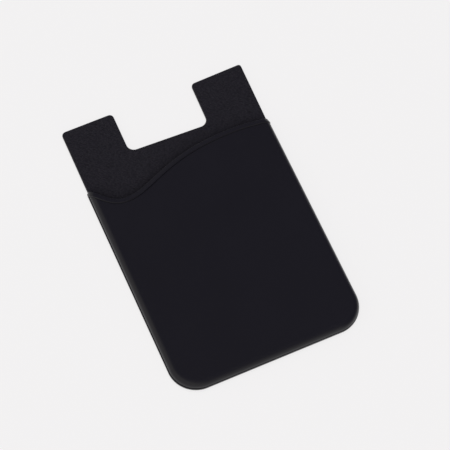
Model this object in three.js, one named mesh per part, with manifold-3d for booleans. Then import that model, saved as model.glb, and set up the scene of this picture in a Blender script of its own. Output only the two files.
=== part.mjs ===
// A stick-on card holder for the back of a phone, in millimetres.
// It lies on its back: +Z points out of the front, +Y towards the two tabs, +X to the right.
// The origin is on the table, under the middle of the holder.

import * as THREE from "three";
import { mergeVertices } from "three/addons/utils/BufferGeometryUtils.js";
import Module from "manifold-3d";

// The bank card that the pocket takes, and the room round it.
const CARD_WIDTH = 54;
const CARD_THICKNESS = 0.8;
const CARD_SIDE_ROOM = 0.35;
const CARD_FACE_ROOM = 0.1;

// Walls of the silicone moulding.
const SIDE_WALL = 1.5;
const BOTTOM_WALL = 1.9;
const BACK_THICKNESS = 1.1;
const FRONT_THICKNESS = 1.0;

// Outline of the moulding, seen from the front.
const OVERALL_LENGTH = 89.6;
const CORNER_RADIUS = 8.4;
const MOUTH_CORNER_RADIUS = 0.7;

// The two tabs and the finger notch between them. Nothing here is quite square: the floor of the
// notch slopes, the tops of the tabs lean to the right, the right one's top falls inwards, and the
// left tab is a little short.
const TAB_STEP_IN = 0.4;
const TAB_WIDTH = 16.15;
const LEFT_TAB_LEAN = 0.1;
const RIGHT_TAB_LEAN = 0.4;
const RIGHT_TAB_FALL = 0.4;
const LEFT_TAB_SHORT = 0.12;
const LEFT_TAB_OUTER_RADIUS = 1.25;
const RIGHT_TAB_OUTER_RADIUS = 0.8;
const TAB_INNER_RADIUS = 1.3;
const NOTCH_DEPTH_LEFT = 13.6;
const NOTCH_DEPTH_RIGHT = 14.55;
const NOTCH_RADIUS = 2.3;
const TAB_ROOT = 12;

// Edges of the moulding. The front half of the mould sits a little inside the back half and a
// little to the right of it, which leaves a thin ledge at the parting line, mostly on the left.
const BACK_EDGE_ROUND = 0.4;
const PARTING_EDGE_ROUND = 0.08;
const TAB_EDGE_ROUND = 0.3;
const FRONT_EDGE_RADIUS = 1.8;
const PARTING_STEP = 0.16;
const MOULD_SHIFT = 0.1;

// The mouth of the pocket: a wave that dips on the left and crests on the right. Heights are from
// the bottom edge of the holder. A reach is how far a bend holds its level to one side.
const MOUTH_LEFT_HEIGHT = 68.5;
const MOUTH_LEFT_REACH = 3.4;
const MOUTH_DIP_X = -19;
const MOUTH_DIP_HEIGHT = 62.0;
const MOUTH_DIP_REACH_LEFT = 5.8;
const MOUTH_DIP_REACH_RIGHT = 8.1;
const MOUTH_CREST_X = 17;
const MOUTH_CREST_HEIGHT = 70.2;
const MOUTH_CREST_REACH_LEFT = 21.7;
const MOUTH_CREST_REACH_RIGHT = 6;
const MOUTH_RIGHT_HEIGHT = 69.2;
const MOUTH_RIGHT_REACH = 4;

// The raised lip that runs along the mouth: it rolls over gently towards the mouth and drops
// steeply to the front. Its root is the part that sinks into the walls.
const LIP_WIDTH = 1.7;
const LIP_RISE = 0.26;
const LIP_CREST_FROM_MOUTH = 1.2;
const LIP_ROLL_DROP = 0.45;
const LIP_SIDE_RISE_SHARE = 0.6;
const LIP_FOOT_DEPTH = 0.04;
const LIP_ROOT_PAST_WALL = 0.05;
const LIP_ROOT_WIDTH = 1.95;

// The adhesive on the back and the film that covers it until it is used.
const ADHESIVE_THICKNESS = 0.25;
const ADHESIVE_MARGIN = 2.5;
const LINER_THICKNESS = 0.1;
const LINER_OVERHANG = 0.5;

// How finely curves are cut.
const ARC_STEP = 0.4;
const FEWEST_ARC_STEPS = 4;
const EDGE_STEP = 0.25;
const MOUTH_STEPS = 150;
const LIP_ROLL_STEPS = 7;
const LIP_SLOPE_STEPS = 5;
const LIP_FACE_STEPS = 3;

// How far one solid runs into the next where they are joined.
const JOIN_OVERLAP = 0.3;

// The front is cut back under the lip, which makes the mouth's edge.
const MOUTH_CUT_INSIDE_LIP = 0.8;
const MOUTH_TO_BLOCK = 1.5;

// Points closer than this are one point.
const SAME_POINT = 1e-4;

// Widths and lengths that follow.
const slotHalfWidth = CARD_WIDTH / 2 + CARD_SIDE_ROOM;
const pocketHalfWidth = slotHalfWidth + SIDE_WALL;
const frontHalfWidth = pocketHalfWidth - PARTING_STEP;
const tabHalfWidth = pocketHalfWidth - TAB_STEP_IN;
const notchHalfWidth = tabHalfWidth - TAB_WIDTH;
const bottomY = -OVERALL_LENGTH / 2;
const topY = OVERALL_LENGTH / 2;

// Levels above the table that follow.
const linerTop = LINER_THICKNESS;
const backFace = linerTop + ADHESIVE_THICKNESS;
const partingLevel = backFace + BACK_THICKNESS;
const slotCeiling = partingLevel + CARD_THICKNESS + CARD_FACE_ROOM;
const frontFace = slotCeiling + FRONT_THICKNESS;
const edgeLevel = frontFace - FRONT_EDGE_RADIUS;

// Half of the way across the front, measured along the surface: the flat, the rounded edge, and
// what is left of the side down to the parting line.
const flatHalfWidth = frontHalfWidth - FRONT_EDGE_RADIUS;
const edgeArcLength = (FRONT_EDGE_RADIUS * Math.PI) / 2;
const girthHalf = flatHalfWidth + edgeArcLength + (edgeLevel - partingLevel);

// The lip's root goes right through the wall that it stands on.
const lipRootDepth = Math.max(SIDE_WALL, FRONT_THICKNESS) + LIP_ROOT_PAST_WALL;

const wasm = await Module();
wasm.setup();

// Closed outlines

function corner(x, y, radius) {
  return { at: new THREE.Vector2(x, y), radius };
}

// Points round a closed outline that is given by its corners, anticlockwise, each with its radius.
// The outline is drawn inset by a margin: outward corners tighten by it and inward ones open.
function roundedOutline(corners, inset) {
  const points = [];
  corners.forEach(({ at, radius }, i) => {
    const before = corners.at(i - 1).at;
    const after = corners[(i + 1) % corners.length].at;
    const way = new THREE.Vector2().subVectors(at, before).normalize();
    const nextWay = new THREE.Vector2().subVectors(after, at).normalize();
    const inward = new THREE.Vector2(-way.y, way.x);
    const nextInward = new THREE.Vector2(-nextWay.y, nextWay.x);
    const side = Math.sign(way.cross(nextWay));
    const turn = Math.acos(Math.min(way.dot(nextWay), 1));
    const arcRadius = Math.max(radius - side * inset, 0);
    const shift = inset / (1 + inward.dot(nextInward));
    const tip = at.clone().addScaledVector(inward, shift).addScaledVector(nextInward, shift);
    const centre = tip
      .addScaledVector(way, -arcRadius * Math.tan(turn / 2))
      .addScaledVector(inward, side * arcRadius);
    const steps = Math.max(FEWEST_ARC_STEPS, Math.ceil((radius * turn) / ARC_STEP));
    for (let k = 0; k <= steps; k += 1) {
      const arm = inward.clone().multiplyScalar(-side * arcRadius);
      arm.rotateAround(new THREE.Vector2(), (side * turn * k) / steps);
      points.push(arm.add(centre));
    }
  });
  return points;
}

// Closed solids

// A solid through a row of sections with as many points each. Its two ends are closed by the
// triangles of the flat shape that the sections share.
function loft(sections, flatShape) {
  const size = flatShape.length;
  const positions = sections.flat().flatMap((p) => [p.x, p.y, p.z]);
  const index = [];
  for (let s = 0; s + 1 < sections.length; s += 1) {
    for (let i = 0; i < size; i += 1) {
      const a = s * size + i;
      const b = s * size + ((i + 1) % size);
      index.push(a, b, b + size, a, b + size, a + size);
    }
  }
  const last = (sections.length - 1) * size;
  for (const [a, b, c] of THREE.ShapeUtils.triangulateShape(flatShape, [])) {
    index.push(c, b, a, last + a, last + b, last + c);
  }
  const geometry = new THREE.BufferGeometry();
  geometry.setAttribute("position", new THREE.Float32BufferAttribute(positions, 3));
  geometry.setIndex(index);
  return geometry;
}

// A plate whose outline is inset by a different amount at each level, lowest level first.
function plate(corners, levels, shiftX = 0) {
  const sections = levels.map(({ z, inset }) =>
    roundedOutline(corners, inset).map((p) => new THREE.Vector3(p.x + shiftX, p.y, z)),
  );
  return loft(sections, roundedOutline(corners, levels[0].inset));
}

// The levels of a rounded edge round the bottom of a plate.
function lowerRound(z, radius) {
  return quarterTurn(radius).map((angle) => ({
    z: z + radius * (1 - Math.cos(angle)),
    inset: radius * (1 - Math.sin(angle)),
  }));
}

// The levels of a rounded edge round the top of a plate.
function upperRound(z, radius) {
  return quarterTurn(radius).map((angle) => ({
    z: z - radius * (1 - Math.sin(angle)),
    inset: radius * (1 - Math.cos(angle)),
  }));
}

// Angles from nothing to a right angle, in as many steps as an edge of that radius needs.
function quarterTurn(radius) {
  const steps = Math.ceil(radius / EDGE_STEP) + 1;
  return Array.from({ length: steps + 1 }, (_, k) => ((k / steps) * Math.PI) / 2);
}

// A solid for joining and cutting. Points of the mesh that fall together become one, and the
// triangles that this closes up are left out.
function toSolid(geometry) {
  geometry.deleteAttribute("normal");
  geometry.deleteAttribute("uv");
  const merged = mergeVertices(geometry, SAME_POINT);
  const index = merged.index.array;
  const triVerts = [];
  for (let i = 0; i < index.length; i += 3) {
    const triangle = index.slice(i, i + 3);
    if (new Set(triangle).size === triangle.length) triVerts.push(...triangle);
  }
  return new wasm.Manifold(
    new wasm.Mesh({
      numProp: 3,
      vertProperties: merged.attributes.position.array,
      triVerts: new Uint32Array(triVerts),
    }),
  );
}

function toGeometry(solid) {
  const { vertProperties, triVerts } = solid.getMesh();
  const geometry = new THREE.BufferGeometry();
  geometry.setAttribute("position", new THREE.BufferAttribute(vertProperties, 3));
  geometry.setIndex(new THREE.BufferAttribute(triVerts, 1));
  geometry.computeVertexNormals();
  return geometry;
}

// The silicone sleeve

// The back of the pocket, as wide as the whole holder. Its upper corners are the mouth's corners.
function backHalf() {
  const corners = [
    corner(-pocketHalfWidth, bottomY, CORNER_RADIUS),
    corner(pocketHalfWidth, bottomY, CORNER_RADIUS),
    corner(pocketHalfWidth, bottomY + MOUTH_RIGHT_HEIGHT, MOUTH_CORNER_RADIUS),
    corner(-pocketHalfWidth, bottomY + MOUTH_LEFT_HEIGHT, MOUTH_CORNER_RADIUS),
  ];
  return plate(corners, backLevels(PARTING_EDGE_ROUND));
}

// The back panel goes on above the pocket, a little narrower, as two tabs with a notch between.
function tabPanel() {
  const rootY = bottomY + MOUTH_DIP_HEIGHT - TAB_ROOT;
  const corners = [
    corner(-tabHalfWidth, rootY, TAB_INNER_RADIUS),
    corner(tabHalfWidth, rootY, TAB_INNER_RADIUS),
    corner(tabHalfWidth, bottomY + MOUTH_RIGHT_HEIGHT, 0),
    corner(tabHalfWidth + RIGHT_TAB_LEAN, topY, RIGHT_TAB_OUTER_RADIUS),
    corner(notchHalfWidth + RIGHT_TAB_LEAN, topY - RIGHT_TAB_FALL, TAB_INNER_RADIUS),
    corner(notchHalfWidth, topY - NOTCH_DEPTH_RIGHT, NOTCH_RADIUS),
    corner(-notchHalfWidth, topY - NOTCH_DEPTH_LEFT, NOTCH_RADIUS),
    corner(-notchHalfWidth + LEFT_TAB_LEAN, topY - LEFT_TAB_SHORT, TAB_INNER_RADIUS),
    corner(-tabHalfWidth + LEFT_TAB_LEAN, topY - LEFT_TAB_SHORT, LEFT_TAB_OUTER_RADIUS),
    corner(-tabHalfWidth, bottomY + MOUTH_LEFT_HEIGHT, 0),
  ];
  return plate(corners, backLevels(TAB_EDGE_ROUND));
}

// The levels of the back half's edges, rounded at the back and a little at the parting line.
function backLevels(frontRound) {
  return [
    ...lowerRound(backFace, BACK_EDGE_ROUND),
    ...upperRound(partingLevel, frontRound),
  ];
}

// The front of the pocket before its mouth is cut, with the soft edge all round.
function frontHalf() {
  const radius = CORNER_RADIUS - PARTING_STEP;
  const lowY = bottomY + PARTING_STEP;
  const corners = [
    corner(-frontHalfWidth, lowY, radius),
    corner(frontHalfWidth, lowY, radius),
    corner(frontHalfWidth, topY, radius),
    corner(-frontHalfWidth, topY, radius),
  ];
  const levels = [
    { z: partingLevel - JOIN_OVERLAP, inset: TAB_STEP_IN + MOULD_SHIFT },
    { z: partingLevel, inset: TAB_STEP_IN + MOULD_SHIFT },
    { z: partingLevel, inset: 0 },
    ...upperRound(frontFace, FRONT_EDGE_RADIUS),
  ];
  return plate(corners, levels, MOULD_SHIFT);
}

// The mouth as a curve on the front surface laid out flat: x is the way across, on the surface.
function mouthCurve() {
  const point = (x, height) => new THREE.Vector2(x, bottomY + height);
  const left = point(-girthHalf, MOUTH_LEFT_HEIGHT);
  const dip = point(MOUTH_DIP_X, MOUTH_DIP_HEIGHT);
  const crest = point(MOUTH_CREST_X, MOUTH_CREST_HEIGHT);
  const right = point(girthHalf, MOUTH_RIGHT_HEIGHT);
  const bend = (from, reach, reachBack, to) =>
    new THREE.CubicBezierCurve(
      from,
      new THREE.Vector2(from.x + reach, from.y),
      new THREE.Vector2(to.x - reachBack, to.y),
      to,
    );
  const path = new THREE.CurvePath();
  path.add(bend(left, MOUTH_LEFT_REACH, MOUTH_DIP_REACH_LEFT, dip));
  path.add(bend(dip, MOUTH_DIP_REACH_RIGHT, MOUTH_CREST_REACH_LEFT, crest));
  path.add(bend(crest, MOUTH_CREST_REACH_RIGHT, MOUTH_RIGHT_REACH, right));
  return path;
}

// Stations along the mouth, from the right side to the left: a place on the laid-out front and
// the way from there into the pocket's front wall.
function mouthStations() {
  const curve = mouthCurve();
  return Array.from({ length: MOUTH_STEPS + 1 }, (_, k) => {
    const along = 1 - k / MOUTH_STEPS;
    const tangent = curve.getTangentAt(along);
    return { at: curve.getPointAt(along), inward: new THREE.Vector2(tangent.y, -tangent.x) };
  });
}

// Where a place on the laid-out front lies on the real one, a given height above its surface.
function onFront(place, height) {
  const side = Math.sign(place.x);
  const past = Math.abs(place.x) - flatHalfWidth;
  const angle = THREE.MathUtils.clamp(past / FRONT_EDGE_RADIUS, 0, Math.PI / 2);
  const across = Math.min(past, 0) + flatHalfWidth;
  const down = Math.max(past - edgeArcLength, 0);
  const arm = FRONT_EDGE_RADIUS + height;
  return new THREE.Vector3(
    MOULD_SHIFT + side * (across + arm * Math.sin(angle)),
    place.y,
    edgeLevel - down + arm * Math.cos(angle),
  );
}

// A body swept along the mouth and bent round both side edges down to the parting line, where its
// ends sink into the back half. Its section at a station is a ring of places on the laid-out front,
// each with a height above the surface.
function sweepAlongMouth(sectionAt) {
  const rings = mouthStations().map(sectionAt);
  const sections = rings.map((ring) => ring.map(({ place, height }) => onFront(place, height)));
  const sunkEnd = (ring) =>
    ring.map(({ place, height }) => {
      const point = onFront(place, Math.min(height, 0) - JOIN_OVERLAP);
      return point.setZ(point.z - JOIN_OVERLAP);
    });
  const flatShape = rings[0].map(({ place, height }) => new THREE.Vector2(-place.y, height));
  return loft([sunkEnd(rings[0]), ...sections, sunkEnd(rings.at(-1))], flatShape);
}

// The lip's section at a station. From its root it climbs the steep slope to the crest, rolls over
// to the mouth and goes down the mouth's face.
function lipSection({ at, inward }) {
  const wrap = THREE.MathUtils.clamp((Math.abs(at.x) - flatHalfWidth) / edgeArcLength, 0, 1);
  const rise = LIP_RISE * THREE.MathUtils.lerp(1, LIP_SIDE_RISE_SHARE, wrap);
  const point = (wayIn, height) => ({ place: at.clone().addScaledVector(inward, wayIn), height });
  const points = [
    point(LIP_ROOT_WIDTH, -lipRootDepth),
    point(LIP_ROOT_WIDTH, -JOIN_OVERLAP),
    point(LIP_WIDTH, -LIP_FOOT_DEPTH),
  ];
  for (let k = 1; k < LIP_SLOPE_STEPS; k += 1) {
    const share = k / LIP_SLOPE_STEPS;
    const wayIn = THREE.MathUtils.lerp(LIP_WIDTH, LIP_CREST_FROM_MOUTH, share);
    const climb = (rise + LIP_FOOT_DEPTH) * Math.sin((share * Math.PI) / 2);
    points.push(point(wayIn, climb - LIP_FOOT_DEPTH));
  }
  for (let k = 0; k <= LIP_ROLL_STEPS; k += 1) {
    const angle = (k / LIP_ROLL_STEPS) * (Math.PI / 2);
    const wayIn = LIP_CREST_FROM_MOUTH * (1 - Math.sin(angle));
    points.push(point(wayIn, (rise + LIP_ROLL_DROP) * Math.cos(angle) - LIP_ROLL_DROP));
  }
  for (let k = 1; k <= LIP_FACE_STEPS; k += 1) {
    points.push(point(0, -THREE.MathUtils.lerp(LIP_ROLL_DROP, lipRootDepth, k / LIP_FACE_STEPS)));
  }
  return points;
}

// What is cut off the front half past the mouth: all of the wall there, bent round both side edges
// with the surface.
function wallPastMouth({ at, inward }) {
  const near = at.clone().addScaledVector(inward, MOUTH_CUT_INSIDE_LIP);
  const far = new THREE.Vector2(near.x, OVERALL_LENGTH);
  return [
    { place: near, height: -lipRootDepth },
    { place: near, height: JOIN_OVERLAP },
    { place: far, height: JOIN_OVERLAP },
    { place: far, height: -lipRootDepth },
  ];
}

// The rest past the mouth, under that wall, as a straight-sided block.
function blockPastMouth() {
  const cut = mouthStations().map(({ at, inward }) =>
    onFront(at.clone().addScaledVector(inward, -MOUTH_TO_BLOCK), 0),
  );
  const outline = [
    ...cut,
    new THREE.Vector3(-OVERALL_LENGTH, cut.at(-1).y),
    new THREE.Vector3(-OVERALL_LENGTH, OVERALL_LENGTH),
    new THREE.Vector3(OVERALL_LENGTH, OVERALL_LENGTH),
    new THREE.Vector3(OVERALL_LENGTH, cut[0].y),
  ];
  const shape = new THREE.Shape(outline.map((p) => new THREE.Vector2(p.x, p.y)));
  const prism = new THREE.ExtrudeGeometry(shape, { depth: OVERALL_LENGTH, bevelEnabled: false });
  return prism.translate(0, 0, -OVERALL_LENGTH / 2);
}

// The slot that the card slides into, open at the mouth.
function cardSlot() {
  const radius = CORNER_RADIUS - SIDE_WALL;
  const corners = [
    corner(-slotHalfWidth, bottomY + BOTTOM_WALL, radius),
    corner(slotHalfWidth, bottomY + BOTTOM_WALL, radius),
    corner(slotHalfWidth, OVERALL_LENGTH, radius),
    corner(-slotHalfWidth, OVERALL_LENGTH, radius),
  ];
  return plate(corners, [
    { z: partingLevel, inset: 0 },
    { z: slotCeiling, inset: 0 },
  ]);
}

function makeSleeve() {
  const front = toSolid(frontHalf())
    .subtract(toSolid(sweepAlongMouth(wallPastMouth)))
    .subtract(toSolid(blockPastMouth()));
  const solid = toSolid(backHalf())
    .add(toSolid(tabPanel()))
    .add(front)
    .add(toSolid(sweepAlongMouth(lipSection)))
    .subtract(toSolid(cardSlot()));
  const silicone = new THREE.MeshStandardMaterial({
    color: 0x1f1e24,
    roughness: 0.6,
    metalness: 0,
  });
  return namedMesh("holder_sleeve", toGeometry(solid), silicone);
}

// The sheets on the back

function backSheet(margin, low, high) {
  const halfWidth = pocketHalfWidth - margin;
  const lowY = bottomY + margin;
  const highY = topY - Math.max(NOTCH_DEPTH_LEFT, NOTCH_DEPTH_RIGHT) - margin;
  const radius = CORNER_RADIUS - margin;
  const corners = [
    corner(-halfWidth, lowY, radius),
    corner(halfWidth, lowY, radius),
    corner(halfWidth, highY, radius),
    corner(-halfWidth, highY, radius),
  ];
  return plate(corners, [
    { z: low, inset: 0 },
    { z: high, inset: 0 },
  ]);
}

function makeAdhesive() {
  const acrylic = new THREE.MeshStandardMaterial({
    color: 0xd8d6cf,
    roughness: 0.5,
    metalness: 0,
  });
  return namedMesh("adhesive_sheet", backSheet(ADHESIVE_MARGIN, linerTop, backFace), acrylic);
}

function makeLiner() {
  const film = new THREE.MeshStandardMaterial({
    color: 0xf1efe8,
    roughness: 0.45,
    metalness: 0,
  });
  const margin = ADHESIVE_MARGIN - LINER_OVERHANG;
  return namedMesh("release_liner", backSheet(margin, 0, linerTop), film);
}

function namedMesh(name, geometry, material) {
  const mesh = new THREE.Mesh(geometry, material);
  mesh.name = name;
  return mesh;
}

const holder = new THREE.Group();
holder.add(makeSleeve(), makeAdhesive(), makeLiner());

export default holder;
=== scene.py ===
import math

import bmesh
import bpy
from mathutils import Matrix, Vector


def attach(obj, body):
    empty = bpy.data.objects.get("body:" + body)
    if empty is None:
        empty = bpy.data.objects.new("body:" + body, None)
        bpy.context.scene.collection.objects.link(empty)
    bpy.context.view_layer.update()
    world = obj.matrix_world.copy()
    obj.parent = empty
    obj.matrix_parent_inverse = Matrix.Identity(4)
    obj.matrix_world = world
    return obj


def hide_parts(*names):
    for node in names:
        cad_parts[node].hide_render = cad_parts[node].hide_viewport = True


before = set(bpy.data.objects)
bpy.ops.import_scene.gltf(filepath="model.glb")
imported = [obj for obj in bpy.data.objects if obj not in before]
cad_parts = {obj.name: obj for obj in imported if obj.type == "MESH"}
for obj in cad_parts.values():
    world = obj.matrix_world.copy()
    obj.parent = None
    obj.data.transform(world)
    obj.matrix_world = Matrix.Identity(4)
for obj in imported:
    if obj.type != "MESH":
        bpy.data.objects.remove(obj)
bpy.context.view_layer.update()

MM = 0.001
QUARTER_TURN = math.pi / 2

# The camera: where it looks, how far away it is, and how it is turned.
CAMERA_TARGET = Vector((3.935 * MM, -0.943 * MM, 0.0))
CAMERA_DISTANCE = 630.2 * MM
CAMERA_ELEVATION = math.radians(65.4)
CAMERA_TURN = math.radians(23.53)
CAMERA_ROLL = math.radians(-0.161)
SENSOR_WIDTH = 36.0
LENS = 175.7

# The studio: a pale table, a room that is bright low on the left and dim high on the right, and an
# overhead soft box that lights the table and the object evenly.
TABLE_SIZE = 3.0
TABLE_COLOUR = "#F4F3F3"
TABLE_GLOW_SHARE = 0.85
ROOM_BRIGHT_WAY = Vector((-0.8, -0.25, -0.55))
ROOM_BRIGHT_COLOUR = "#DEDBD9"
ROOM_DIM_COLOUR = "#7A7888"
ROOM_DIM_AT = -0.6
ROOM_BRIGHT_AT = 0.1
OVERHEAD_HEIGHT = 2.0
OVERHEAD_SIZE = 1.5
OVERHEAD_LEVEL = 0.6

# The front of the moulding: its level, the line where the mould parts, and its rounded side edges.
PARTING_LEVEL = 1.45 * MM
FRONT_LEVEL = 3.35 * MM
EDGE_RADIUS = 1.8 * MM
FRONT_HALF_WIDTH = 28.69 * MM
FRONT_SHIFT = 0.1 * MM
EDGE_LEVEL = FRONT_LEVEL - EDGE_RADIUS
FLAT_HALF_WIDTH = FRONT_HALF_WIDTH - EDGE_RADIUS
EDGE_ARC = EDGE_RADIUS * QUARTER_TURN
GIRTH_HALF = FLAT_HALF_WIDTH + EDGE_ARC + EDGE_LEVEL - PARTING_LEVEL

# The mouth of the pocket on the front laid out flat: each bend's place, and how far it holds its
# level to the left and to the right. The curve between two bends is drawn in so many steps.
BOTTOM_Y = -44.8 * MM
MOUTH_BENDS = [
    (-GIRTH_HALF, 68.5 * MM, 3.4 * MM, 3.4 * MM),
    (-19 * MM, 62.0 * MM, 5.8 * MM, 8.1 * MM),
    (17 * MM, 70.2 * MM, 21.7 * MM, 6.0 * MM),
    (GIRTH_HALF, 69.2 * MM, 4.0 * MM, 4.0 * MM),
]
MOUTH_BEND_STEPS = 64

# The lip that runs along it: its top slopes to the mouth, and a steep side drops to the front.
LIP_SIZES = {
    "Crest From Mouth": 1.4 * MM,
    "Crest Height": 0.31 * MM,
    "Mouth Edge Height": -0.15 * MM,
    "Root Width": 1.85 * MM,
    "Root Depth": 0.6 * MM,
    "Edge Round": 0.16 * MM,
    "Rounding Steps": 5,
    "Stations": 260,
    "Side Rise Share": 0.6,
    "Flat Half Width": FLAT_HALF_WIDTH,
    "Edge Radius": EDGE_RADIUS,
    "Edge Level": EDGE_LEVEL,
    "Front Shift": FRONT_SHIFT,
}

# The sums that turn the lip's heights into depths, and bend a flat point at x across the front and
# z above it round the front's edges. Each line is a result's name, its sum and what goes into it.
LIP_SUMS = [
    ("crest depth", "MULTIPLY", "Crest Height", -1.0),
    ("mouth edge depth", "MULTIPLY", "Mouth Edge Height", -1.0),
    ("side", "SIGN", "flat x"),
    ("reach", "ABSOLUTE", "flat x"),
    ("past flat", "SUBTRACT", "reach", "Flat Half Width"),
    ("turned", "DIVIDE", "past flat", "Edge Radius"),
    ("turned outwards", "MAXIMUM", "turned", 0.0),
    ("angle", "MINIMUM", "turned outwards", QUARTER_TURN),
    ("short of edge", "MINIMUM", "past flat", 0.0),
    ("across", "ADD", "short of edge", "Flat Half Width"),
    ("arc", "MULTIPLY", "Edge Radius", QUARTER_TURN),
    ("past arc", "SUBTRACT", "past flat", "arc"),
    ("down", "MAXIMUM", "past arc", 0.0),
    ("wrapped", "DIVIDE", "angle", QUARTER_TURN),
    ("full loss", "SUBTRACT", 1.0, "Side Rise Share"),
    ("loss", "MULTIPLY", "wrapped", "full loss"),
    ("rise share", "SUBTRACT", 1.0, "loss"),
    ("rise", "MAXIMUM", "flat z", 0.0),
    ("raised", "MULTIPLY", "rise", "rise share"),
    ("sunk", "MINIMUM", "flat z", 0.0),
    ("height", "ADD", "raised", "sunk"),
    ("arm", "ADD", "Edge Radius", "height"),
    ("sine", "SINE", "angle"),
    ("swung", "MULTIPLY", "arm", "sine"),
    ("out", "ADD", "across", "swung"),
    ("out on its side", "MULTIPLY", "side", "out"),
    ("bent x", "ADD", "out on its side", "Front Shift"),
    ("cosine", "COSINE", "angle"),
    ("lifted", "MULTIPLY", "arm", "cosine"),
    ("foot level", "SUBTRACT", "Edge Level", "down"),
    ("bent z", "ADD", "foot level", "lifted"),
]

# The frame's own lip goes this far under the surface, where the finer lip stands over it. Points
# that stand less than the second measure above the surface are not part of it.
LIP_SINK = 0.12 * MM
LIP_SINK_CLEAR = 0.003 * MM

# Points nearer than this are one, edges sharper than this angle stay sharp, and large faces lead
# the shading by this weight, of at most 100.
MERGE_DISTANCE = 0.0001 * MM
SHARP_ANGLE = math.radians(32)
FACE_AREA_WEIGHT = 100

# The back panel's faces: how near the parting level they lie, how squarely they look up, and the
# places of the two finishes on the moulding.
PANEL_TOLERANCE = 0.05 * MM
PANEL_UPRIGHT = 0.9
SMOOTH_FINISH = 0
GRAINED_FINISH = 1

# Patterns have a scale, which is how many of their cells go into a metre.

# The smooth rubber: patches 17 mm wide, and a grit of 0.1 mm. The grit of a real mould is finer,
# and is drawn coarser here so that it shows.
SILICONE_IOR = 1.41
MATTE_ROUGHNESS_LOW = 0.27
MATTE_ROUGHNESS_HIGH = 0.33
MOTTLE_SCALE = 60.0
GRIT_SCALE = 9000.0
GRIT_DEPTH = 0.01 * MM
GRIT_STRENGTH = 0.6

# The leather grain of the back panel: cells 0.8 mm long and 0.3 mm across, which a slower noise
# carries off their rows. Painted shade darkens the panel where the lip and the edges close it in.
GRAIN_TURN = math.radians(16)
GRAIN_STRETCH = 2.8
GRAIN_SCALE = 1300.0
GRAIN_SMOOTHNESS = 0.5
GRAIN_DEPTH = 0.15 * MM
GRAIN_ROUGHNESS = 0.45
STRAY_SCALE = 700.0
STRAY_SHARE = 0.0006
# Painted shade on the panel: its reach, samples, darkest openness and darkness, and sheen before
# dimming.
SHADE_REACH = 5 * MM
SHADE_SAMPLES = 16
SHADE_DARKEST_AT = 0.5
SHADE_DARKEST = 0.35
GLOSS_SHARE = 0.5

# The adhesive: a haze with clouds of 2.5 mm.
HAZE_SCALE = 400.0
ADHESIVE_ROUGHNESS = 0.35
ADHESIVE_IOR = 1.47

# The liner film: ripples 11 mm apart.
RIPPLE_SCALE = 90.0
RIPPLE_DEPTH = 0.1 * MM
RIPPLE_STRENGTH = 0.4
FILM_ROUGHNESS = 0.28
FILM_IOR = 1.57


# Colours, nodes and objects


def linear(hex_colour):
    """The sRGB hex colour as linear red, green, blue and alpha."""
    channels = [int(hex_colour[i : i + 2], 16) / 255 for i in (1, 3, 5)]
    light = [c / 12.92 if c <= 0.04045 else ((c + 0.055) / 1.055) ** 2.4 for c in channels]
    return (*light, 1.0)


def add_node(tree, kind, settings=None, inputs=None):
    """Adds a node, with its properties and its inputs. An input is a value or another socket."""
    node = tree.nodes.new(kind)
    for name, value in (settings or {}).items():
        setattr(node, name, value)
    for name, value in (inputs or {}).items():
        if isinstance(value, bpy.types.NodeSocket):
            tree.links.new(value, node.inputs[name])
        else:
            node.inputs[name].default_value = value
    return node


def new_material(name):
    """A material with an empty node tree."""
    material = bpy.data.materials.new(name)
    material.use_nodes = True
    material.node_tree.nodes.clear()
    return material


def add_object(name, data):
    """Puts a mesh, curve, light or camera into the scene as an object."""
    thing = bpy.data.objects.new(name, data)
    bpy.context.scene.collection.objects.link(thing)
    return thing


# Finishes


def matte_silicone():
    """Smooth moulded rubber: near black, a soft satin sheen, and broad patches that hardly show."""
    material = new_material("matte_moulded_silicone")
    tree = material.node_tree
    place = add_node(tree, "ShaderNodeTexCoord").outputs["Object"]
    mottle = add_node(
        tree, "ShaderNodeTexNoise", inputs={"Vector": place, "Scale": MOTTLE_SCALE, "Detail": 3.0}
    )
    colour = add_node(
        tree,
        "ShaderNodeMix",
        {"data_type": "RGBA"},
        {"Factor": mottle.outputs["Fac"], "A": linear("#100F14"), "B": linear("#131218")},
    )
    roughness = add_node(
        tree,
        "ShaderNodeMapRange",
        inputs={
            "Value": mottle.outputs["Fac"],
            "To Min": MATTE_ROUGHNESS_LOW,
            "To Max": MATTE_ROUGHNESS_HIGH,
        },
    )
    grit = add_node(
        tree, "ShaderNodeTexNoise", inputs={"Vector": place, "Scale": GRIT_SCALE, "Detail": 2.0}
    )
    bump = add_node(
        tree,
        "ShaderNodeBump",
        inputs={
            "Height": grit.outputs["Fac"],
            "Distance": GRIT_DEPTH,
            "Strength": GRIT_STRENGTH,
        },
    )
    shader = add_node(
        tree,
        "ShaderNodeBsdfPrincipled",
        inputs={
            "Base Color": colour.outputs["Result"],
            "Roughness": roughness.outputs["Result"],
            "IOR": SILICONE_IOR,
            "Normal": bump.outputs["Normal"],
        },
    )
    add_node(tree, "ShaderNodeOutputMaterial", inputs={"Surface": shader.outputs["BSDF"]})
    return material


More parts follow.
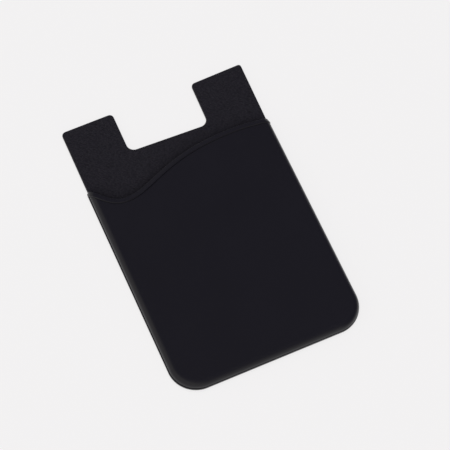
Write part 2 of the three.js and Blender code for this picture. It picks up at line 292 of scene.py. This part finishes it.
def grained_silicone():
    """The same rubber from the grained side of the mould: a fine leather grain of long flat cells,
    drawn across the holder as in the photo, and painted shade along the lip of the mouth."""
    material = new_material("leather_grained_silicone")
    tree = material.node_tree
    place = add_node(tree, "ShaderNodeTexCoord").outputs["Object"]
    turned = add_node(
        tree,
        "ShaderNodeVectorRotate",
        {"rotation_type": "Z_AXIS"},
        {"Vector": place, "Angle": GRAIN_TURN},
    )
    along = add_node(
        tree,
        "ShaderNodeVectorMath",
        {"operation": "MULTIPLY"},
        {0: turned.outputs["Vector"], 1: (1.0, GRAIN_STRETCH, 1.0)},
    )
    stray = add_node(
        tree,
        "ShaderNodeTexNoise",
        inputs={"Vector": along.outputs["Vector"], "Scale": STRAY_SCALE, "Detail": 2.0},
    )
    strayed = add_node(
        tree,
        "ShaderNodeMix",
        {"data_type": "VECTOR"},
        {"Factor": STRAY_SHARE, "A": along.outputs["Vector"], "B": stray.outputs["Color"]},
    )
    cells = add_node(
        tree,
        "ShaderNodeTexVoronoi",
        {"feature": "SMOOTH_F1"},
        {
            "Vector": strayed.outputs["Result"],
            "Scale": GRAIN_SCALE,
            "Smoothness": GRAIN_SMOOTHNESS,
        },
    )
    colour = add_node(
        tree,
        "ShaderNodeMix",
        {"data_type": "RGBA"},
        {"Factor": cells.outputs["Distance"], "A": linear("#201E24"), "B": linear("#08070B")},
    )
    # Painted shade: colour and sheen darken where the lip and the edges close the panel in.
    openness = add_node(
        tree,
        "ShaderNodeAmbientOcclusion",
        {"samples": SHADE_SAMPLES},
        {"Distance": SHADE_REACH},
    )
    shade = add_node(
        tree,
        "ShaderNodeMapRange",
        inputs={
            "Value": openness.outputs["AO"],
            "From Min": SHADE_DARKEST_AT,
            "To Min": SHADE_DARKEST,
        },
    )
    shaded = add_node(
        tree,
        "ShaderNodeMix",
        {"data_type": "RGBA"},
        {
            "Factor": shade.outputs["Result"],
            "A": linear("#000000"),
            "B": colour.outputs["Result"],
        },
    )
    # The sheen is dimmed by the same painted shade.
    painted_shade_gloss = add_node(
        tree,
        "ShaderNodeMath",
        {"operation": "MULTIPLY"},
        {0: shade.outputs["Result"], 1: GLOSS_SHARE},
    )
    bump = add_node(
        tree,
        "ShaderNodeBump",
        {"invert": True},
        {"Height": cells.outputs["Distance"], "Distance": GRAIN_DEPTH, "Strength": 1.0},
    )
    shader = add_node(
        tree,
        "ShaderNodeBsdfPrincipled",
        inputs={
            "Base Color": shaded.outputs["Result"],
            "Roughness": GRAIN_ROUGHNESS,
            "IOR": SILICONE_IOR,
            "Specular IOR Level": painted_shade_gloss.outputs["Value"],
            "Normal": bump.outputs["Normal"],
        },
    )
    add_node(tree, "ShaderNodeOutputMaterial", inputs={"Surface": shader.outputs["BSDF"]})
    return material


def acrylic_adhesive():
    """A sheet of acrylic transfer adhesive: pale and milky, with a faint haze."""
    material = new_material("acrylic_transfer_adhesive")
    tree = material.node_tree
    place = add_node(tree, "ShaderNodeTexCoord").outputs["Object"]
    haze = add_node(
        tree, "ShaderNodeTexNoise", inputs={"Vector": place, "Scale": HAZE_SCALE, "Detail": 4.0}
    )
    colour = add_node(
        tree,
        "ShaderNodeMix",
        {"data_type": "RGBA"},
        {"Factor": haze.outputs["Fac"], "A": linear("#CFCDC4"), "B": linear("#DFDDD6")},
    )
    shader = add_node(
        tree,
        "ShaderNodeBsdfPrincipled",
        inputs={
            "Base Color": colour.outputs["Result"],
            "Roughness": ADHESIVE_ROUGHNESS,
            "IOR": ADHESIVE_IOR,
        },
    )
    add_node(tree, "ShaderNodeOutputMaterial", inputs={"Surface": shader.outputs["BSDF"]})
    return material


def liner_film():
    """Siliconised polyester film, which keeps the adhesive covered: pale, sleek, barely rippled."""
    material = new_material("siliconised_polyester_liner")
    tree = material.node_tree
    place = add_node(tree, "ShaderNodeTexCoord").outputs["Object"]
    ripple = add_node(
        tree, "ShaderNodeTexNoise", inputs={"Vector": place, "Scale": RIPPLE_SCALE, "Detail": 2.0}
    )
    bump = add_node(
        tree,
        "ShaderNodeBump",
        inputs={
            "Height": ripple.outputs["Fac"],
            "Distance": RIPPLE_DEPTH,
            "Strength": RIPPLE_STRENGTH,
        },
    )
    shader = add_node(
        tree,
        "ShaderNodeBsdfPrincipled",
        inputs={
            "Base Color": linear("#ECE9DF"),
            "Roughness": FILM_ROUGHNESS,
            "IOR": FILM_IOR,
            "Normal": bump.outputs["Normal"],
        },
    )
    add_node(tree, "ShaderNodeOutputMaterial", inputs={"Surface": shader.outputs["BSDF"]})
    return material


# The moulding


def make_sleeve():
    """The moulding: the frame's own form, with its points merged and its rounds shaded smooth."""
    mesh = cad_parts["holder_sleeve"].data.copy()
    mesh.name = "sleeve"
    mesh.materials.clear()
    mesh.materials.append(matte_silicone())
    mesh.materials.append(grained_silicone())
    work = bmesh.new()
    work.from_mesh(mesh)
    bmesh.ops.remove_doubles(work, verts=work.verts, dist=MERGE_DISTANCE)
    bmesh.ops.recalc_face_normals(work, faces=work.faces)
    for face in work.faces:
        face.smooth = True
    work.to_mesh(mesh)
    work.free()
    return add_object("sleeve", mesh)


def height_above_front(point):
    """How far a point lies above the front's surface, its rounded edges included."""
    past = abs(point.x - FRONT_SHIFT) - FLAT_HALF_WIDTH
    if past <= 0:
        return point.z - FRONT_LEVEL
    if point.z <= EDGE_LEVEL:
        return past - EDGE_RADIUS
    return math.hypot(past, point.z - EDGE_LEVEL) - EDGE_RADIUS


def sink_plain_lip(mesh):
    """Draws the frame's own lip in under the surface, where the finer lip stands over it."""
    for vertex in mesh.vertices:
        point = vertex.co
        above = height_above_front(point)
        if point.z < PARTING_LEVEL + LIP_SINK_CLEAR or above < LIP_SINK_CLEAR:
            continue
        across = point.x - FRONT_SHIFT
        flat_across = math.copysign(min(abs(across), FLAT_HALF_WIDTH), across)
        foot = Vector((flat_across + FRONT_SHIFT, point.y, EDGE_LEVEL))
        out = point - foot
        if out.length > 0:
            vertex.co = point - out.normalized() * (above + LIP_SINK)


def give_grain(piece):
    """The upward faces at the parting level are the grained back panel."""
    for face in piece.data.polygons:
        level = abs(face.center.z - PARTING_LEVEL) < PANEL_TOLERANCE
        grained = level and face.normal.z > PANEL_UPRIGHT
        face.material_index = GRAINED_FINISH if grained else SMOOTH_FINISH


def shade_by_angle(piece):
    """Keeps the sharp edges sharp, and lets large faces lead the shading of the rounds."""
    piece.data.set_sharp_from_angle(angle=SHARP_ANGLE)
    weighted = piece.modifiers.new("face_weighted_normals", "WEIGHTED_NORMAL")
    weighted.keep_sharp = True
    weighted.weight = FACE_AREA_WEIGHT


# The lip of the mouth


def lip_tree():
    """Sweeps the lip's section along a flat path and bends it round the edges of the front."""
    tree = bpy.data.node_groups.new("mouth_lip", "GeometryNodeTree")
    tree.interface.new_socket("Path", in_out="INPUT", socket_type="NodeSocketGeometry")
    for name, size in LIP_SIZES.items():
        kind = "NodeSocketInt" if isinstance(size, int) else "NodeSocketFloat"
        tree.interface.new_socket(name, in_out="INPUT", socket_type=kind)
    tree.interface.new_socket("Finish", in_out="INPUT", socket_type="NodeSocketMaterial")
    tree.interface.new_socket("Lip", in_out="OUTPUT", socket_type="NodeSocketGeometry")
    given = add_node(tree, "NodeGroupInput").outputs
    place = add_node(tree, "GeometryNodeInputPosition").outputs["Position"]
    flat = add_node(tree, "ShaderNodeSeparateXYZ", inputs={"Vector": place}).outputs

    known = {name: given[name] for name in LIP_SIZES}
    known["flat x"] = flat["X"]
    known["flat z"] = flat["Z"]
    for name, operation, *values in LIP_SUMS:
        inputs = {number: known.get(value, value) for number, value in enumerate(values)}
        worked = add_node(tree, "ShaderNodeMath", {"operation": operation}, inputs)
        known[name] = worked.outputs["Value"]

    corners = {
        "Point 1": (known["Root Width"], known["Root Depth"]),
        "Point 2": (0.0, known["Root Depth"]),
        "Point 3": (0.0, known["mouth edge depth"]),
        "Point 4": (known["Crest From Mouth"], known["crest depth"]),
    }
    points = {}
    for name, (way_in, depth) in corners.items():
        corner = add_node(tree, "ShaderNodeCombineXYZ", inputs={"X": way_in, "Y": depth})
        points[name] = corner.outputs["Vector"]
    section = add_node(
        tree, "GeometryNodeCurvePrimitiveQuadrilateral", {"mode": "POINTS"}, points
    )
    rounded = add_node(
        tree,
        "GeometryNodeFilletCurve",
        {"mode": "POLY"},
        {
            "Curve": section.outputs["Curve"],
            "Radius": given["Edge Round"],
            "Count": given["Rounding Steps"],
            "Limit Radius": True,
        },
    )
    stations = add_node(
        tree,
        "GeometryNodeResampleCurve",
        inputs={"Curve": given["Path"], "Count": given["Stations"]},
    )
    upright = add_node(
        tree, "GeometryNodeSetCurveNormal", {"mode": "Z_UP"}, {"Curve": stations.outputs["Curve"]}
    )
    swept = add_node(
        tree,
        "GeometryNodeCurveToMesh",
        inputs={
            "Curve": upright.outputs["Curve"],
            "Profile Curve": rounded.outputs["Curve"],
            "Fill Caps": True,
        },
    )

    bent = add_node(
        tree,
        "ShaderNodeCombineXYZ",
        inputs={"X": known["bent x"], "Y": flat["Y"], "Z": known["bent z"]},
    )
    placed = add_node(
        tree,
        "GeometryNodeSetPosition",
        inputs={"Geometry": swept.outputs["Mesh"], "Position": bent.outputs["Vector"]},
    )
    real = add_node(
        tree, "GeometryNodeRealizeInstances", inputs={"Geometry": placed.outputs["Geometry"]}
    )
    finished = add_node(
        tree,
        "GeometryNodeSetMaterial",
        inputs={"Geometry": real.outputs["Geometry"], "Material": given["Finish"]},
    )
    add_node(tree, "NodeGroupOutput", inputs={"Lip": finished.outputs["Geometry"]})
    return tree


def mouth_path():
    """The mouth as a curve on the front laid out flat."""
    data = bpy.data.curves.new("mouth_path", "CURVE")
    data.dimensions = "3D"
    data.resolution_u = MOUTH_BEND_STEPS
    spline = data.splines.new("BEZIER")
    spline.bezier_points.add(len(MOUTH_BENDS) - 1)
    for point, (x, height, reach_left, reach_right) in zip(spline.bezier_points, MOUTH_BENDS):
        point.co = (x, BOTTOM_Y + height, 0)
        point.handle_left = point.co - Vector((reach_left, 0, 0))
        point.handle_right = point.co + Vector((reach_right, 0, 0))
    return add_object("mouth_path", data)


def make_lip(finish):
    """The lip as a mesh of its own. The path that it was swept along doesn't stay."""
    path = mouth_path()
    modifier = path.modifiers.new("mouth_lip", "NODES")
    modifier.node_group = lip_tree()
    sockets = {item.name: item.identifier for item in modifier.node_group.interface.items_tree}
    for name, size in LIP_SIZES.items():
        modifier[sockets[name]] = size
    modifier[sockets["Finish"]] = finish
    evaluated = path.evaluated_get(bpy.context.evaluated_depsgraph_get())
    mesh = bpy.data.meshes.new_from_object(evaluated)
    mesh.name = "mouth_lip"
    bpy.data.objects.remove(path)
    for face in mesh.polygons:
        face.use_smooth = True
    return add_object("mouth_lip", mesh)


sleeve = make_sleeve()
sink_plain_lip(sleeve.data)
give_grain(sleeve)
shade_by_angle(sleeve)
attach(sleeve, "root")
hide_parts("holder_sleeve")

lip = make_lip(sleeve.data.materials[SMOOTH_FINISH])
shade_by_angle(lip)
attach(lip, "root")
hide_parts("holder_sleeve")

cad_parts["adhesive_sheet"].data.materials[0] = acrylic_adhesive()
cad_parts["release_liner"].data.materials[0] = liner_film()


# The studio


def pale_table():
    """A seamless white sheet that looks evenly lit, with only a breath of the object's shadow."""
    material = new_material("pale_table_top")
    tree = material.node_tree
    path = add_node(tree, "ShaderNodeLightPath")
    seen = path.outputs["Is Camera Ray"]
    for ray in ("Is Glossy Ray", "Is Transmission Ray"):
        both = add_node(
            tree, "ShaderNodeMath", {"operation": "ADD"}, {0: seen, 1: path.outputs[ray]}
        )
        seen = both.outputs["Value"]
    share = add_node(
        tree, "ShaderNodeMath", {"operation": "MULTIPLY"}, {0: seen, 1: TABLE_GLOW_SHARE}
    )
    paper = add_node(tree, "ShaderNodeBsdfDiffuse", inputs={"Color": linear(TABLE_COLOUR)})
    glow = add_node(tree, "ShaderNodeEmission", inputs={"Color": linear(TABLE_COLOUR)})
    shader = add_node(
        tree,
        "ShaderNodeMixShader",
        inputs={0: share.outputs["Value"], 1: paper.outputs["BSDF"], 2: glow.outputs["Emission"]},
    )
    add_node(tree, "ShaderNodeOutputMaterial", inputs={"Surface": shader.outputs["Shader"]})
    return material


def make_table():
    """The table top, which the object lies on."""
    half = TABLE_SIZE / 2
    mesh = bpy.data.meshes.new("table")
    corners = [(-half, -half, 0), (half, -half, 0), (half, half, 0), (-half, half, 0)]
    mesh.from_pydata(corners, [], [(0, 1, 2, 3)])
    mesh.materials.append(pale_table())
    table = add_object("table", mesh)


def make_room():
    """The room's light, which fades from its bright side to its dim side."""
    world = bpy.data.worlds.new("room")
    world.use_nodes = True
    world.node_tree.nodes.clear()
    tree = world.node_tree
    way = add_node(tree, "ShaderNodeTexCoord").outputs["Generated"]
    towards = add_node(
        tree,
        "ShaderNodeVectorMath",
        {"operation": "DOT_PRODUCT"},
        {0: way, 1: ROOM_BRIGHT_WAY.normalized()},
    )
    share = add_node(
        tree,
        "ShaderNodeMapRange",
        {"interpolation_type": "SMOOTHSTEP"},
        {"Value": towards.outputs["Value"], "From Min": ROOM_DIM_AT, "From Max": ROOM_BRIGHT_AT},
    )
    colour = add_node(
        tree,
        "ShaderNodeMix",
        {"data_type": "RGBA"},
        {
            "Factor": share.outputs["Result"],
            "A": linear(ROOM_DIM_COLOUR),
            "B": linear(ROOM_BRIGHT_COLOUR),
        },
    )
    shader = add_node(tree, "ShaderNodeBackground", inputs={"Color": colour.outputs["Result"]})
    add_node(tree, "ShaderNodeOutputWorld", inputs={"Surface": shader.outputs["Background"]})
    bpy.context.scene.world = world


def make_overhead_light():
    """A wide soft box overhead. It lights, but isn't mirrored in the object."""
    data = bpy.data.lights.new("overhead_soft_box", "AREA")
    data.shape = "SQUARE"
    data.size = OVERHEAD_SIZE
    data.energy = OVERHEAD_LEVEL * (math.pi * OVERHEAD_HEIGHT) ** 2
    light = add_object("overhead_soft_box", data)
    light.location = (0, 0, OVERHEAD_HEIGHT)
    light.visible_glossy = False


def make_camera():
    """The camera, which looks from where the photo was taken."""
    data = bpy.data.cameras.new("camera")
    data.sensor_width = SENSOR_WIDTH
    data.lens = LENS
    camera = add_object("camera", data)
    turn = (
        Matrix.Rotation(-CAMERA_TURN, 4, "Z")
        @ Matrix.Rotation(QUARTER_TURN - CAMERA_ELEVATION, 4, "X")
        @ Matrix.Rotation(CAMERA_ROLL, 4, "Z")
    )
    back = turn.to_3x3() @ Vector((0, 0, 1))
    camera.matrix_world = Matrix.Translation(CAMERA_TARGET + back * CAMERA_DISTANCE) @ turn
    bpy.context.scene.camera = camera


make_table()
make_room()
make_overhead_light()
make_camera()

bpy.context.scene.view_settings.view_transform = "Standard"
